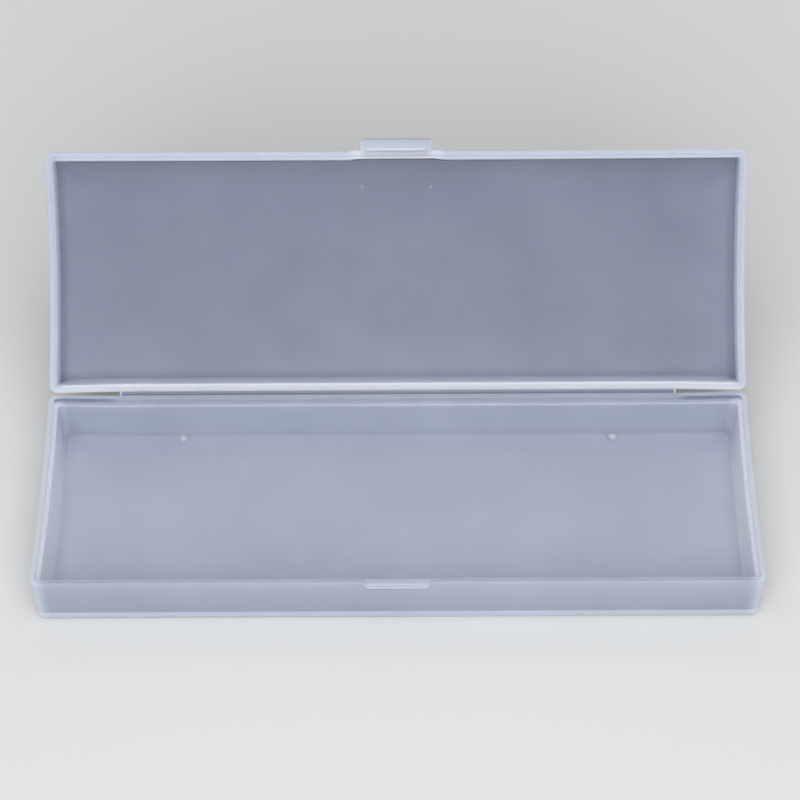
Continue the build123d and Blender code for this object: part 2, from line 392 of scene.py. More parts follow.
def ring_milkiness(size, section, rings, latch_zone):
    """Milkiness of the rings' points.

    It is the section's side value on the short sides and its front or rear value along the long ones,
    changing by a smooth step over FRONT_BLEND or REAR_BLEND from each corner, and its latch value within
    the latch zone. The side value loses its painted side shade, the shade that the lid casts on the rear
    corners, times exp(-distance to the rear / SIDE_FADE). At the rear the painted rear shade, where no web
    lights the skirt's inner wall, sets in over REAR_BLEND outwards from the hinge's ends.
    """
    x, y = np.moveaxis(rings, 2, 0)
    side, front, rear, at_latch = (
        section[:, [column]] for column in (SIDE_MILK_AND_LIGHT, FRONT_MILK_AND_LIGHT, REAR_MILK_AND_LIGHT, LATCH_MILK_AND_LIGHT)
    )
    rear_edge = size.case_depth / 2 - section[:, [INSET]] - section[:, [RADIUS]]
    near_rear = np.exp(-np.clip(rear_edge - y, 0, None) / SIDE_FADE)
    # Painted shade that the lid casts on the sides towards the rear corners
    side = side * (1 - section[:, [SIDE_PAINTED_SHADE]] * near_rear)
    width = np.where(y < 0, FRONT_BLEND, REAR_BLEND)
    blend = smooth_step(np.clip((size.case_length / 2 - section[:, [INSET]] - np.abs(x)) / width, 0, 1))
    blend = blend * (np.abs(y) > size.case_depth / 4)
    milk = side * (1 - blend) + np.where(y < 0, front, rear) * blend
    within = latch_share(x, *latch_zone) * (y < -size.case_depth / 4)
    milk = milk * (1 - within) + at_latch * within
    # Painted shade on the skirt's inner wall beside the hinge's ends, where no web lights it
    past_hinge = np.clip((np.abs(x) - size.hinge_length / 2) / REAR_BLEND, 0, 1)
    at_rear = np.clip((y - rear_edge) / MM, 0, 1)
    return milk * (1 - section[:, [REAR_PAINTED_SHADE]] * past_hinge * at_rear)


def case_shell(size, section, bow, front_bow, latch_zone, panel_milk_and_light):
    """Closed shell from a section carried round the plan outline, with a panel in its first and last ring.

    On a panel the milkiness falls from the ring's value to the panel's own by exp(-distance to the ring /
    PANEL_FADE), which paints light near the walls against their shade, and the panel's own value runs
    straight from its front value to its rear one, where these differ a painted gradient of light.
    """
    rings = case_rings(size, section, bow, front_bow, latch_zone)
    x, y = np.moveaxis(rings, 2, 0)
    points = [np.dstack([rings, np.broadcast_to(section[:, [HEIGHT]], x.shape)]).reshape(-1, 3)]
    milks = [ring_milkiness(size, section, rings, latch_zone).ravel()]
    faces = [grid_faces(vertex_numbers(x.shape), True)]
    for row, ends_milk in zip((0, len(section) - 1), panel_milk_and_light):
        inner, table = panel_patch(rings[row], sum(len(p) for p in points))
        table = np.where(table < RING_COUNT, table + row * RING_COUNT, table)
        faces.append(grid_faces(table, False))
        gap_x = np.abs(x[row]).max() - np.abs(inner[:, 0])
        gap_y = np.abs(y[row]).max() - np.abs(inner[:, 1])
        long_side = np.where(inner[:, 1] < 0, section[row, FRONT_MILK_AND_LIGHT], section[row, REAR_MILK_AND_LIGHT])
        nearest = np.where(gap_x < gap_y, section[row, SIDE_MILK_AND_LIGHT], long_side)
        own_milk = np.interp(inner[:, 1], [-size.case_depth / 2, size.case_depth / 2], ends_milk)
        # Painted light near the walls, against the shade of the corner
        fade = np.exp(-np.minimum(gap_x, gap_y) / PANEL_FADE)
        milks.append(own_milk + (nearest - own_milk) * fade)
        points.append(np.column_stack([inner, np.full(len(inner), section[row, HEIGHT])]))
    return np.vstack(points), np.vstack(faces).tolist(), np.concatenate(milks)


def laid_back(size, points):
    """Lid points turned from shut to open about the hinge line.

    With u = hinge y - y and v over the rim: Y = hinge y - u cos a + v sin a, Z = rim + u sin a + v cos a.
    """
    c, s = math.cos(size.opening), math.sin(size.opening)
    u, v = size.hinge_y - points[:, 1], points[:, 2]
    return np.column_stack([points[:, 0], size.hinge_y - u * c + v * s, size.base_height + u * s + v * c])


def quarter_turned(tangent):
    """Unit vectors a quarter turn anticlockwise from the tangents: (-y, x) over their length."""
    return np.column_stack([-tangent[:, 1], tangent[:, 0]]) / np.linalg.norm(tangent, axis=1)[:, None]


def anticlockwise(loop):
    """The loop, turned round if its signed area is negative."""
    x, y = loop.T
    return loop if np.sum(x * np.roll(y, -1) - y * np.roll(x, -1)) > 0 else loop[::-1]


def moved_inwards(loop, amount):
    """The anticlockwise outline with every point moved inwards along its own normal."""
    return loop + quarter_turned(np.roll(loop, -1, 0) - np.roll(loop, 1, 0)) * amount


def outline_with_stops(corners, reach, stops):
    """Closed outline, its corners rounded as in rounded_section, with extra points on its straight runs.

    The stops of a corner are the shares of the straight run after it at which a point is added.
    """
    steps = 4
    ring = np.vstack([corners[-1:], corners, corners[:1]])
    curves = rounded_section(ring, reach, steps)[1:-1].reshape(len(corners), steps + 1, 2)
    runs = []
    for curve, following, shares in zip(curves, np.roll(curves, -1, 0), stops):
        way = np.asarray(shares, float)[:, None]
        runs += [curve, curve[-1] + (following[0] - curve[-1]) * way]
    return np.vstack(runs)


def bar(outline, half_width, edge, stations):
    """Bar along X whose section is a closed outline (y, z), with rounded ends.

    outline is a function that gives the anticlockwise section, shrunk by an amount. Towards each end it
    shrinks by edge (1 - sin a) while x = half width - edge (1 - cos a), for a from 0 to 90 degrees.
    Between the ends it stands at the stations. The points come as an array of stations, outline points,
    (x, y, z), beside the faces.
    """
    a = np.radians(np.linspace(0, 90, 5))
    end_x = half_width - edge * (1 - np.cos(a))
    ends = np.array([outline(amount) for amount in edge * (1 - np.sin(a))])
    sections = np.concatenate([ends, np.repeat(outline(0)[None], len(stations), 0), ends[::-1]])
    x = np.concatenate([-end_x, stations, end_x[::-1]])
    points = np.dstack([np.broadcast_to(x[:, None], sections.shape[:2]), sections])
    return points, capped_faces(vertex_numbers(points.shape[:2]))


def add_node(tree, kind, values=None, links=None):
    """Adds a node, sets its properties and inputs by name, and links inputs to other nodes' outputs."""
    node = tree.nodes.new(kind)
    for name, value in (values or {}).items():
        if hasattr(node, name):
            setattr(node, name, value)
        else:
            node.inputs[name].default_value = value
    for name, source in (links or {}).items():
        tree.links.new(source, node.inputs[name])
    return node


def frosted_polypropylene(finish, piece, thick_colour, scatter=0.0):
    """Moulded frosted polypropylene, natural and undyed.

    The plastic is milky: thin panels look grey-blue and thick rims look white, which the milkiness attribute
    carries. That attribute also carries painted light and shade: the side rims painted brighter than the
    front one, crevices and corners painted lighter against their shade, and painted highlights on some
    edges. The mould's fine texture gives a satin sheen, and slow flow in the mould leaves faint clouds a few
    centimetres wide. The grain is drawn coarser than it is, so that it shows.
    """
    material = bpy.data.materials.new(f"moulded frosted polypropylene, {piece}")
    material.use_nodes = True
    tree = material.node_tree
    tree.nodes.clear()
    cloud_size, grain_size, grain_depth = 28 * MM, 0.9 * MM, 0.05 * MM
    cloud_swing, rough_swing = 0.03, 0.04
    # Nearly all of a noise lies between these two
    usual = {"From Min": 0.3, "From Max": 0.7}
    place = add_node(tree, "ShaderNodeTexCoord").outputs["Object"]
    clouds = add_node(
        tree, "ShaderNodeTexNoise",
        {"Scale": 1 / cloud_size, "Detail": 3.0, "Roughness": 0.55},
        {"Vector": place},
    )
    grain = add_node(
        tree, "ShaderNodeTexNoise", {"Scale": 1 / grain_size, "Detail": 2.0}, {"Vector": place}
    )
    # The attribute holds the milkiness together with painted light and shade
    thickness = add_node(tree, "ShaderNodeAttribute", {"attribute_name": "milkiness_and_painted_light"})
    cloud_share = add_node(
        tree, "ShaderNodeMapRange",
        {**usual, "To Min": -cloud_swing, "To Max": cloud_swing},
        {"Value": clouds.outputs["Fac"]},
    )
    milk = add_node(
        tree, "ShaderNodeMath",
        {"operation": "ADD", "use_clamp": True},
        {0: thickness.outputs["Fac"], 1: cloud_share.outputs[0]},
    )
    base = add_node(tree, "ShaderNodeValToRGB", links={"Fac": milk.outputs[0]})
    stops = base.color_ramp.elements
    stops.new(0.5)
    for stop, shade in zip(stops, (finish.thin_colour, finish.middle_colour, thick_colour)):
        stop.color = (*shade, 1)
    rough = add_node(
        tree, "ShaderNodeMapRange",
        {**usual, "To Min": finish.roughness - rough_swing, "To Max": finish.roughness + rough_swing},
        {"Value": grain.outputs["Fac"]},
    )
    bump = add_node(
        tree, "ShaderNodeBump",
        {"Strength": 0.15, "Distance": grain_depth},
        {"Height": grain.outputs["Fac"]},
    )
    plastic = add_node(
        tree, "ShaderNodeBsdfPrincipled",
        {
            "IOR": finish.refraction,
            "Subsurface Weight": 1.0 if scatter else 0.0,
            "Subsurface Radius": (1.0, 1.0, 1.0),
            "Subsurface Scale": scatter,
        },
        {"Base Color": base.outputs[0], "Roughness": rough.outputs[0], "Normal": bump.outputs[0]},
    )
    add_node(tree, "ShaderNodeOutputMaterial", links={"Surface": plastic.outputs[0]})
    return material


def make_piece(name, points, faces, milkiness_and_painted_light, material, sharp=40):
    """Mesh object with outward faces, smooth shading, its attribute of milkiness with painted light and
    shade, and one material.

    Edges that turn by more than the sharp angle, in degrees, stay sharp.
    """
    merge_distance = 0.002 * MM
    mesh = bpy.data.meshes.new(name)
    mesh.from_pydata(points.tolist(), [], faces)
    layer = mesh.attributes.new("milkiness_and_painted_light", "FLOAT", "POINT")
    layer.data.foreach_set("value", milkiness_and_painted_light.astype(np.float32))
    shell = bmesh.new()
    shell.from_mesh(mesh)
    bmesh.ops.remove_doubles(shell, verts=shell.verts, dist=merge_distance)
    bmesh.ops.recalc_face_normals(shell, faces=shell.faces)
    shell.to_mesh(mesh)
    shell.free()
    mesh.shade_smooth()
    mesh.set_sharp_from_angle(angle=math.radians(sharp))
    mesh.materials.append(material)
    piece = bpy.data.objects.new(name, mesh)
    bpy.context.scene.collection.objects.link(piece)
    weighted = piece.modifiers.new("flat faces stay flat", "WEIGHTED_NORMAL")
    weighted.weight = 80
    weighted.keep_sharp = True
    return piece


def wall_inset(size, drop):
    """How far an outer wall has leaned in at a distance from the rim: drop times the draft's tangent."""
    return math.tan(size.outer_draft) * drop


def floor_edge(size):
    """Height of the floor's top, and how far in from the rim the leaning inner walls meet it."""
    top = size.foot_height + size.floor_thickness
    drop = size.base_height - size.skirt_height - top
    return top, size.skirt_width + size.step_width + math.tan(size.cavity_draft) * drop


class PENCIL_OT_base(bpy.types.Operator):
    """Base tray with its foot rim, floor, walls, skirt and step as one moulding"""

    bl_idname = "pencil_case.base"
    bl_label = "Base moulding"

    def execute(self, context):
        size, finish = context.scene.case_sizes, context.scene.case_finish
        height = size.base_height
        outer, inner = size.corner_radius, size.cavity_corner_radius

        def wall(level):
            """Inset of the outer wall at a height over the table."""
            return wall_inset(size, height - level)

        # How far the section runs on under the floor and over it before the panels take over
        under_run, floor_run = 1.2 * MM, 1.3 * MM
        foot = wall(0)
        foot_inside = foot + size.foot_width
        floor_top, floor_inset = floor_edge(size)
        # The outer wall is milkier up to the floor's edge behind it, where the floor's plastic lies behind
        # it, and that lighter band is partly a painted glow
        glow_top, glow_low = floor_top + 0.2 * MM, floor_top - 0.4 * MM
        # Behind the web the rear wall is cut back, over a ledge of this height
        ledge = 0.03 * MM
        relief = wall_inset(size, size.relief_height)
        relief_level, relief_shift = height - size.relief_height, relief - size.relief_depth
        # The catch stands out of the front wall: a flat underside, a rounded lower edge and a sloping face
        under, reach, round_off = height - size.catch_height, size.catch_reach, 0.2 * MM
        edge_level, edge_reach = under + round_off / 3, reach - round_off / 4
        catch_inset = wall_inset(size, size.catch_height)
        catch_shift = catch_inset - size.relief_depth
        face_middle = (under + round_off + height) / 2
        middle_reach = (reach + size.catch_top_reach) / 2
        # Inside the rim: the skirt's wall, the step, a line just below the step and the floor
        skirt_radius = outer - size.skirt_width
        step_level = height - size.skirt_height
        step_inset = size.skirt_width + size.step_width
        below_step = 0.6 * MM
        below_inset = step_inset + math.tan(size.cavity_draft) * below_step
        # The milkiness columns here also hold painted light and shade: the side rims are painted brighter
        # than the front one, the catch's lower edge is painted white as a highlight, and the foot of the
        # skirt's wall and the floor's edge are painted lighter against the shade of their corners
        section = section_of([
            (foot_inside + under_run, size.foot_height, outer, 0, 0, 0.35, 0.35, 0.35, 0.35, 0),
            (foot_inside, size.foot_height, outer, 0, 0, 0.4, 0.4, 0.4, 0.4, 0.2),
            (foot_inside, 0, outer, 0, 0, 0.5, 0.5, 0.5, 0.5, 0.2),
            (foot + size.foot_bevel, 0, outer - size.foot_bevel, 0, 0, 0.6, 0.5, 0.5, 0.5, 0.4),
            (wall(size.foot_bevel), size.foot_bevel, outer, 0, 0, 0.75, 0.55, 0.6, 0.55, 0.4),
            (wall(glow_low), glow_low, outer, 0, 0, 0.75, 0.62, 0.6, 0.62, SHARP),
            (wall(glow_top), glow_top, outer, 0, 0, 0.7, 0.27, 0.45, 0.27, SHARP),
            (relief, relief_level, outer, 0, 0, 0.65, 0.37, 0.4, 0.37, SHARP),
            (relief, relief_level + ledge, outer, relief_shift, 0, 0.65, 0.37, 0.4, 0.37, SHARP),
            (catch_inset, under - ledge, outer, catch_shift, 0, 0.7, 0.37, 0.4, 0.37, SHARP),
            (catch_inset, under, outer, catch_shift, reach - round_off, 0.7, 0.4, 0.4, 0.95, SHARP),
            (catch_inset, edge_level, outer, catch_shift, edge_reach, 0.7, 0.4, 0.4, 1.0, SHARP),
            (catch_inset, under + round_off, outer, catch_shift, reach, 0.7, 0.4, 0.4, 0.75, 0.05),
            (catch_inset / 2, face_middle, outer, catch_shift, middle_reach, 0.7, 0.38, 0.4, 0.25, SHARP),
            (0, height, outer, -size.relief_depth, size.catch_top_reach, 0.6, 0.2, 0.7, 0.45, 0.18),
            (size.skirt_width, height, skirt_radius, 0, 0, 0.62, 0.36, 0.22, 0.42, 0.2),
            (size.skirt_width, step_level, skirt_radius, 0, 0, 1.0, 0.36, 0.55, 0.4, 0.25),
            (step_inset, step_level, inner, 0, 0, 0.72, 0.38, 0.42, 0.36, 0.2),
            (below_inset, step_level - below_step, inner, 0, 0, 1.0, 0.4, 0.42, 0.4, SHARP),
            (floor_inset, floor_top, inner, 0, 0, 0.97, 0.62, 0.4, 0.62, 1.2),
            (floor_inset + floor_run, floor_top, inner, 0, 0, 0.56, 0.64, 0.5, 0.64, 0),
        ])
        # Painted shade: beside the hinge no web lights the skirt's inner wall, and the lid shades the rear
        # corners, so the milkiness is painted darker there
        rear_shade_share, side_shade_share = 0.85, 0.33
        wall_band, step_fade, slack = 0.15 * MM, 0.6 * MM, 0.01 * MM
        off_skirt_wall = np.abs(section[:, INSET] - size.skirt_width)
        rear_painted_shade = rear_shade_share * np.clip(1 - off_skirt_wall / wall_band, 0, 1)
        rear_painted_shade = rear_painted_shade * np.clip((section[:, HEIGHT] - step_level) / step_fade, 0, 1)
        side_painted_shade = side_shade_share * (section[:, INSET] > step_inset - slack)
        section = np.column_stack([section, rear_painted_shade, side_painted_shade])
        # The catch's sloping ends, trimmed at the wall and in front for the way that they are eased
        flat_trim, root_trim = 0.3 * MM, 0.7 * MM
        catch_zone = (size.catch_front_width / 2 - flat_trim, size.catch_width / 2 - root_trim)
        # Under the foot and on the floor; the floor's top is painted lighter at the front than at the rear,
        # a painted gradient of shade
        panel_milk_and_light = ((0.35, 0.35), (0.53, 0.42))
        points, faces, milk = case_shell(size, section, size.base_bow, 0, catch_zone, panel_milk_and_light)
        material = frosted_polypropylene(finish, "base", finish.base_thick_colour, finish.wall_scatter)
        piece = make_piece("base_moulding", points, faces, milk, material)
        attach(piece, "base")
        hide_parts("base_tray", "catch_ledge")
        return {"FINISHED"}


class PENCIL_OT_lid(bpy.types.Operator):
    """Lid panel with its walls and locating lip as one moulding"""

    bl_idname = "pencil_case.lid"
    bl_label = "Lid moulding"

    def execute(self, context):
        size, finish = context.scene.case_sizes, context.scene.case_finish
        top, bevel = size.lid_height, size.panel_bevel
        lip_inset = size.skirt_width + size.lip_clearance
        rim_inset = lip_inset + size.lip_width
        depth = top - size.panel_thickness
        panel_inset = rim_inset + math.tan(size.lid_cavity_draft) * depth
        lug = wall_inset(size, size.lug_height)
        outer, inner = size.corner_radius, size.lid_corner_radius
        shoulder = wall_inset(size, top - bevel)
        relief = size.lip_relief
        # Behind the latch the free edge has no bow and stands a little further out
        flush = size.lid_front_bow + 0.1 * MM
        # Keeps the shut lid's rim just off the base's
        rim = 0.04 * MM
        # How far the section runs on over the outer face and the inner one before the panels take over
        outer_run, inner_run = 1.5 * MM, 0.6 * MM
        ledge = 0.05 * MM
        # The milkiness columns here also hold painted light: the rim beside the hinge and by the latch is
        # painted white against the shade of the lip and the tab, and the rim's inner crease is painted
        # lighter against its own shade
        section = section_of([
            (shoulder + bevel + outer_run, top, outer, 0, 0, 0.15, 0.15, 0.15, 0.15, 0),
            (wall_inset(size, top) + bevel, top, outer - bevel, 0, 0, 0.4, 0.4, 0.4, 0.4, 0.35),
            (shoulder, top - bevel, outer, 0, 0, 0.6, 0.6, 0.6, 0.6, 0.35),
            (lug, size.lug_height + ledge, outer, 0, flush, 0.5, 0.45, 0.6, 1.0, SHARP),
            (lug, size.lug_height, outer, size.edge_slant + lug, flush, 0.5, 0.45, 0.6, 1.0, SHARP),
            (0, rim, outer, size.edge_slant, flush, 0.45, 0.42, 1.0, 1.0, 0.2),
            (lip_inset, rim, outer - lip_inset, 0, 0, 0.82, 0.9, 1.0, 1.0, 0.2),
            (lip_inset, -size.lip_height, outer - lip_inset, 0, 0, 0.45, 0.48, 0.8, 0.85, 0.2),
            (rim_inset, -size.lip_height, inner, 0, relief, 0.4, 0.5, 0.8, 0.8, 0.2),
            (rim_inset, 0, inner, 0, relief, 1.0, 0.8, 1.0, 0.7, SHARP),
            (panel_inset, depth, inner, 0, relief, 0.32, 0.12, 0.7, 0.08, 0.3),
            (panel_inset + inner_run, depth, inner, 0, 0, 0.1, 0.04, 0.14, 0.04, 0),
        ])
        section = np.column_stack([section, np.zeros((len(section), 2))])
        # Beside the latch the edge, the lip and the milkiness change back within these two distances
        flat_margin, root_margin = 0.6 * MM, 4 * MM
        latch_zone = (size.latch_width / 2 + flat_margin, size.latch_width / 2 + root_margin)
        # The panel's inner face is painted a little lighter towards the hinge, a painted gradient of light
        panel_milk_and_light = ((0.1, 0.1), (0.02, 0.08))
        points, faces, milk = case_shell(
            size, section, size.lid_bow, size.lid_front_bow, latch_zone, panel_milk_and_light
        )
        material = frosted_polypropylene(finish, "lid", finish.lid_thick_colour, finish.wall_scatter)
        piece = make_piece("lid_moulding", laid_back(size, points), faces, milk, material)
        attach(piece, "lid")
        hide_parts("lid_shell", "lid_locating_lip")
        return {"FINISHED"}


class PENCIL_OT_gates(bpy.types.Operator):
    """Two small domed marks on the floor where the plastic entered the mould"""

    bl_idname = "pencil_case.gates"
    bl_label = "Gate marks"

    def execute(self, context):
        size, finish = context.scene.case_sizes, context.scene.case_finish
        floor_top, floor_inset = floor_edge(size)
        y = size.case_depth / 2 - size.edge_slant - floor_inset - size.nub_wall_gap
        # A dome with z = height cos^2(90 degrees r / radius), drawn on rings of radius r
        turns, rings, smallest, sunk = 24, 8, 0.05, 0.02 * MM
        radius = size.nub_diameter / 2
        a = np.linspace(0, 2 * math.pi, turns, endpoint=False)[None]
        r = (radius * np.linspace(1, smallest, rings))[:, None]
        rise = np.cos(np.pi / 2 * r / radius) ** 2
        z = floor_top - sunk + size.nub_height * rise
        dome = np.dstack([r * np.cos(a), y + r * np.sin(a), z + 0 * a])
        points = np.vstack([(dome + [side * size.nub_spacing / 2, 0, 0]).reshape(-1, 3) for side in (-1, 1)])
        foot_milk, top_milk = 0.42, 0.75
        milk = np.tile((foot_milk + (top_milk - foot_milk) * rise + 0 * a).ravel(), 2)
        ids = vertex_numbers(dome.shape[:2])
        faces = capped_faces(ids) + capped_faces(ids + ids.size)
        material = frosted_polypropylene(finish, "gates", finish.base_thick_colour)
        piece = make_piece("gate_marks", points, faces, milk, material)
        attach(piece, "base")
        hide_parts("gate_nubs")
        return {"FINISHED"}


class PENCIL_OT_hinge(bpy.types.Operator):
    """Thin hinge web that bends between base and lid"""

    bl_idname = "pencil_case.hinge"
    bl_label = "Hinge web"

    def execute(self, context):
        size, finish = context.scene.case_sizes, context.scene.case_finish
        # The crease lies just under the rim
        thick, y, z = size.web_thickness, size.hinge_y, size.base_height - 0.02 * MM
        relief_y = size.case_depth / 2 - size.edge_slant - size.relief_depth
        # How far the web runs into the base's rear edge and into the lid's
        base_sunk, lid_sunk = 0.3 * MM, 0.4 * MM
        lid_reach = size.hinge_y - size.case_depth / 2 + lid_sunk
        c, s = math.cos(size.opening), math.sin(size.opening)
        lid_way, lid_out = np.array([-c, s]), np.array([s, c])
        # Outer face: along the base leaf, an arc of the web's thickness about the hinge line, up the lid
        turn = np.linspace(-math.pi / 2, math.atan2(c, s), 9)
        crease = np.array([y, z])
        back = np.linspace(relief_y - base_sunk, y, 6)
        base_outer = np.column_stack([back, np.full_like(back, z - thick)])
        arc = crease + thick * np.column_stack([np.cos(turn), np.sin(turn)])
        lid_steps = np.linspace(0, lid_reach, 5)[1:, None]
        lid_outer = crease + lid_out * thick + lid_way * lid_steps
        lid_inner = (crease + lid_way * lid_steps)[::-1]
        base_inner = np.column_stack([back[::-1], np.full_like(back, z)])
        loop = anticlockwise(np.vstack([base_outer[:-1], arc, lid_outer, lid_inner, base_inner]))
        half, edge = size.hinge_length / 2 - 0.05 * MM, 0.04 * MM
        last, next_to_last = half - 0.35 * MM, half - 0.5 * MM
        middle = np.linspace(-next_to_last, next_to_last, 40)
        stations = np.concatenate([[-last], middle, [last]])
        points, faces = bar(lambda shrink: moved_inwards(loop, shrink), half, edge, stations)
        # Painted white at its two ends as a highlight, and milky where it runs into the base
        milky, end_width, clear_width, fade_width = 0.7, 0.4 * MM, 0.65 * MM, 0.25 * MM
        painted_end_highlight = half - np.abs(points[..., 0]) < end_width
        at_base = np.clip((y - clear_width - points[..., 1]) / fade_width, 0, 1)
        milk = milky * np.maximum(painted_end_highlight, at_base)
        material = frosted_polypropylene(finish, "web", finish.lid_thick_colour)
        piece = make_piece("hinge_web", points.reshape(-1, 3), faces, milk.ravel(), material, sharp=60)
        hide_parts("base_hinge_leaf", "lid_hinge_leaf")
        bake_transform(piece)
        return {"FINISHED"}


class PENCIL_OT_latch(bpy.types.Operator):
    """Latch plate, finger tab and hook"""

    bl_idname = "pencil_case.latch"
    bl_label = "Latch"

    def execute(self, context):
        size, finish = context.scene.case_sizes, context.scene.case_finish
        front, wall = -size.case_depth / 2, wall_inset(size, size.lid_height) + size.panel_bevel
        tab_inner = front - size.catch_reach - size.latch_clearance
        tab_outer = tab_inner - size.tab_thickness
        hook_top = -(size.catch_height + size.latch_clearance)
        hook_bottom = hook_top - size.hook_height
        tip = front - size.hook_wall_gap
        shoulder = tip - size.hook_lead_in
        # The plate runs into the panel just under its outer face
        root, top = front + wall + 0.1 * MM, size.lid_height - 0.02 * MM
        under = size.lid_height - size.plate_thickness
        bottom_radius, least_radius = 0.6 * MM, 0.02 * MM
        # From the plate's root round by the tab and the hook: place of each corner, its way inwards, the
        # reach of its rounding, and 1 where the corner is hollow
        table = np.array([
            (root, top, -1, -1, 0.3 * MM, 0),
            (tab_outer, top, 1, -1, 0.8 * MM, 0),
            (tab_outer, hook_bottom, 1, 1, bottom_radius, 0),
            (tip, hook_bottom, -1, 1, least_radius, 0),
            (tip, hook_top, -1, -1, 0.15 * MM, 0),
            (tab_inner, hook_top, -1, -1, 0.3 * MM, 1),
            (tab_inner, under, -1, 1, 0.4 * MM, 1),
            (root, under, -1, 1, 0.3 * MM, 0),
        ])
        corners, inwards, reach, hollow = table[:, :2], table[:, 2:4], table[:, 4], table[:, 5]
        # Points are added along the plate, where it bends, under the hook and up its bevel
        bevel_shares = np.linspace(0, 1, 7)
        bend = np.linspace(0, 1, 14)[1:-1]
        lead = size.hook_lead_in * bevel_shares
        bottom_start, bottom_end = tab_outer + bottom_radius, tip - least_radius
        before_bevel = [bottom_start + 0.5 * MM, shoulder - 0.03 * MM]
        bottom = np.concatenate([before_bevel, shoulder + lead[:-1]])
        bottom_stops = (bottom - bottom_start) / (bottom_end - bottom_start)
        tip_stops = lead[1:] / size.hook_height
        stops = (bend, [], bottom_stops, tip_stops, [], [], bend, [])

        def outline(shrink):
            """The section shrunk by an amount, with each rounding shrunk or, in a hollow, grown."""
            turned = np.clip(reach + np.where(hollow, shrink, -shrink), least_radius, None)
            return outline_with_stops(corners + inwards * shrink, turned, stops)

        # Stations along X at the steps of the bevel's slanted sides and at the tab's corners
        half, half_bevel, edge = size.latch_width / 2, size.bevel_width / 2, size.tab_radius
        slant = half_bevel - size.bevel_tip_width / 2
        side = half_bevel - slant * bevel_shares
        corner_start = half - size.tab_corner
        corner = np.linspace(corner_start, half - edge, 5)[:-1]
        middle, beside_bevel = [1 * MM, 3 * MM, 5 * MM], [half_bevel + 0.6 * MM]
        right = np.concatenate([middle, side[::-1], beside_bevel, corner])
        points, faces = bar(outline, half, edge, np.concatenate([-right[::-1], right]))
        x, y, v = np.moveaxis(points, 2, 0)
        # Outer corners: the outer face moves in by r - sqrt(r^2 - d^2), the tab's inner face not at all
        past = np.clip(np.abs(x) - corner_start, 0, size.tab_corner)
        inset = size.tab_corner - np.sqrt(size.tab_corner**2 - past**2)
        y = y + inset * np.clip((tab_inner - y) / size.tab_thickness, 0, 1)
        # Bevel: the hook's underside rises as y passes the shoulder, or as x comes in from its side
        side_rise = (half_bevel - np.abs(x)) / slant
        rise = size.hook_lead_in * np.clip(np.minimum((y - shoulder) / size.hook_lead_in, side_rise), 0, 1)
        v = np.maximum(v, hook_bottom + rise)
        # The underside is painted a little lighter towards the hook and the ends lighter, against the shade
        # of the gap under the tab, and the bevel is painted white as a highlight
        plain_milk, bottom_painted_light, edge_painted_light, bevel_painted_highlight = 0.45, 0.12, 0.4, 1.0
        bottom_band, slack = 0.3 * MM, 0.01 * MM
        down_end = np.clip((y - tab_outer) / (shoulder - tab_outer), 0, 1) * (v < hook_bottom + bottom_band)
        at_edge = np.clip(1 - (half - np.abs(x)) / edge, 0, 1)
        milk = plain_milk + bottom_painted_light * down_end + edge_painted_light * at_edge
        on_bevel = (rise > slack) & (v < hook_bottom + size.hook_lead_in + slack)
        milk = np.where(on_bevel, bevel_painted_highlight, milk)
        material = frosted_polypropylene(finish, "latch", finish.lid_thick_colour, finish.latch_scatter)
        points = laid_back(size, np.dstack([x, y, v]).reshape(-1, 3))
        latch = make_piece("latch", points, faces, milk.ravel(), material)
        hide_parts("latch_plate", "latch_tab", "latch_hook")
        ends = laid_back(size, np.array([(0, front, under), (0, tab_inner, under)]))
        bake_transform(latch)
        return {"FINISHED"}


class PENCIL_OT_witness(bpy.types.Operator):
    """Fine raised line that the mould's latch insert leaves on the lid's panel, inside and out"""

    bl_idname = "pencil_case.witness"
    bl_label = "Witness line"

    def execute(self, context):
        size, finish = context.scene.case_sizes, context.scene.case_finish
        half, start, end = size.latch_width / 2 - 0.1 * MM, 3.4 * MM, size.plate_length
        front = -size.case_depth / 2
        near, far = front + start, front + end
        # Three sides of a rectangle with rounded corners
        corner_reach, spacing = 0.35 * MM, 0.4 * MM
        corners = np.array([(-half, near), (-half, far), (half, far), (half, near)])
        path = refined_section(rounded_section(corners, corner_reach, steps=6), spacing)
        normal = quarter_turned(np.gradient(path, axis=0))
        # Highest at the two far corners, which are also painted white as glints, and dying away towards the
        # lid's edge
        away = np.linalg.norm(np.abs(path) - np.abs([half, far]), axis=1)
        along_fade, corner_fade, least_share = 5 * MM, 0.6 * MM, 0.2
        at_corner = np.exp(-away / corner_fade)
        height = size.witness_height * np.exp(-away / along_fade)
        height = height + (size.witness_corner - size.witness_height) * at_corner
        height = height * np.clip((path[:, 1] - front - start) / MM + least_share, least_share, 1)
        # Half-sunk ellipse round the path: across w/2 cos a, up h sin a
        around = 10
        a = np.linspace(0, 2 * math.pi, around, endpoint=False)
        across = size.witness_width / 2 * np.cos(a)[None, :, None] * normal[:, None]
        flat = path[:, None] + across
        up = height[:, None] * np.sin(a)[None]
        faces, points = [], []
        for level, side in ((size.lid_height - size.panel_thickness, -1), (size.lid_height, 1)):
            faces += capped_faces(vertex_numbers(up.shape, sum(len(p) for p in points)))
            points.append(np.dstack([flat, level + side * up]).reshape(-1, 3))
        # Painted glints: the line is painted white at its two far corners
        plain_milk = 0.04
        milk = np.tile(np.repeat(plain_milk + (1 - plain_milk) * at_corner, around), 2)
        material = frosted_polypropylene(finish, "witness", finish.lid_thick_colour)
        piece = make_piece("witness_line", laid_back(size, np.vstack(points)), faces, milk, material)
        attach(piece, "lid")
        return {"FINISHED"}


